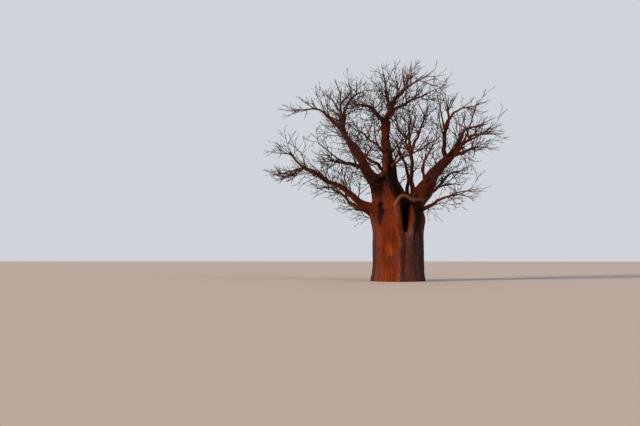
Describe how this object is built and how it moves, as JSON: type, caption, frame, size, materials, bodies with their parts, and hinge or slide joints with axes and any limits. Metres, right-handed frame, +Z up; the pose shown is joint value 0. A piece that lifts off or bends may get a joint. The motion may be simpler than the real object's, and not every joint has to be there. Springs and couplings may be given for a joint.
{
  "type": "leafless baobab tree",
  "caption": "Bare baobab tree: massive fluted trunk with a hollow below its fork, tapering boughs and a wide crown of leafless twigs, rooted in level ground.",
  "frame": {"origin": "centre of the flat cut at ground level, under the trunk", "axes": "+Z up; the picture's view looks along +Y, with +X to its right"},
  "size_m": [18.3164, 16.0847, 16.8321],
  "materials": {
    "bark": "smooth folded bark, matt",
    "twigs": "thin bare twigs, matt"
  },
  "bodies": {
    "root": {"trunk": "bark", "centre_stem": "bark", "left_bough": "bark", "right_bough": "bark", "low_left_bough": "bark", "lowest_left_bough": "bark", "lowest_left_arm": "bark", "centre_left_bough": "bark", "centre_right_bough": "bark", "centre_crown_bough": "bark", "centre_far_bough": "bark", "left_outer_bough": "bark", "left_inner_bough": "bark", "shaded_bough": "bark", "back_left_bough": "bark", "low_left_upper_bough": "bark", "right_upright_bough": "bark", "right_upright_arm": "bark", "right_outer_bough": "bark", "right_far_bough": "bark", "right_low_bough": "bark", "slender_stem_left": "bark", "slender_stem_right": "bark", "slender_back_arm": "bark", "slender_right_arm": "bark", "right_inner_bough": "bark", "right_lowest_bough": "bark", "right_lower_bough": "bark", "back_bough": "bark", "back_right_bough": "bark", "front_left_bough": "bark", "front_right_bough": "bark", "left_bough_twigs": "twigs", "low_left_bough_twigs": "twigs", "lowest_left_arm_twigs": "twigs", "centre_left_bough_twigs": "twigs", "centre_right_bough_twigs": "twigs", "centre_crown_bough_twigs": "twigs", "centre_far_bough_twigs": "twigs", "left_outer_bough_twigs": "twigs", "left_inner_bough_twigs": "twigs", "shaded_bough_twigs": "twigs", "back_left_bough_twigs": "twigs", "low_left_upper_bough_twigs": "twigs", "right_upright_bough_twigs": "twigs", "right_upright_arm_twigs": "twigs", "right_outer_bough_twigs": "twigs", "right_far_bough_twigs": "twigs", "right_low_bough_twigs": "twigs", "slender_stem_left_twigs": "twigs", "slender_stem_right_twigs": "twigs", "slender_back_arm_twigs": "twigs", "slender_right_arm_twigs": "twigs", "right_inner_bough_twigs": "twigs", "right_lowest_bough_twigs": "twigs", "right_lower_bough_twigs": "twigs", "back_bough_twigs": "twigs", "back_right_bough_twigs": "twigs", "front_left_bough_twigs": "twigs", "front_right_bough_twigs": "twigs"}
  },
  "joints": []
}
